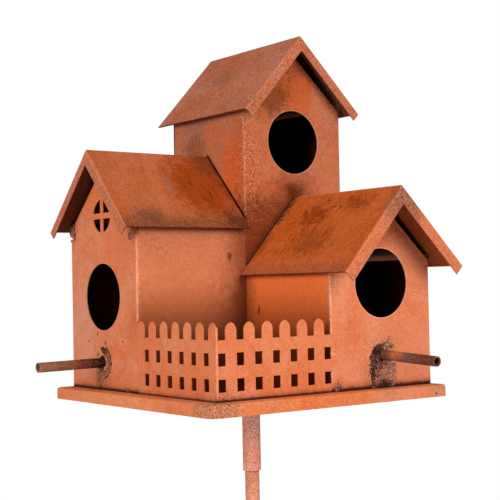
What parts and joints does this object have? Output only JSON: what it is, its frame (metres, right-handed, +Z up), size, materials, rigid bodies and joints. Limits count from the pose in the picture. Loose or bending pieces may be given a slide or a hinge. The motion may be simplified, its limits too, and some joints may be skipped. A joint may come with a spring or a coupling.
{
  "type": "birdhouse on pole",
  "caption": "Garden birdhouse of rusted sheet metal: gabled houses and a low picket fence on a square tray, carried on a slim pole by a socket tube.",
  "frame": {"origin": "centre of the pole's lower end", "axes": "+Z up along the pole, -Y and -X towards the two gable faces seen in the picture"},
  "size_m": [0.3064, 0.3101, 1.0499],
  "materials": {
    "rust_tray": "rusted sheet steel, matt",
    "rust_fence": "rusted sheet steel, matt",
    "rust_wall": "rusted sheet steel, matt",
    "rust_roof": "rusted sheet steel, matt",
    "rust_tube": "rusted steel tube and rod, matt",
    "rust_weld": "rough rusted weld bead"
  },
  "bodies": {
    "root": {"base_tray": "rust_tray", "fence": "rust_fence", "left_shell": "rust_wall", "right_shell": "rust_wall", "tower_shell": "rust_wall", "tower_back": "rust_wall", "left_roof": "rust_roof", "right_roof": "rust_roof", "tower_roof": "rust_roof", "left_perch": "rust_tube", "right_perch": "rust_tube", "left_perch_weld": "rust_weld", "right_perch_weld": "rust_weld", "shoulder_welds": "rust_weld", "socket_tube": "rust_tube", "socket_weld": "rust_weld", "pole": "rust_tube"}
  },
  "joints": []
}
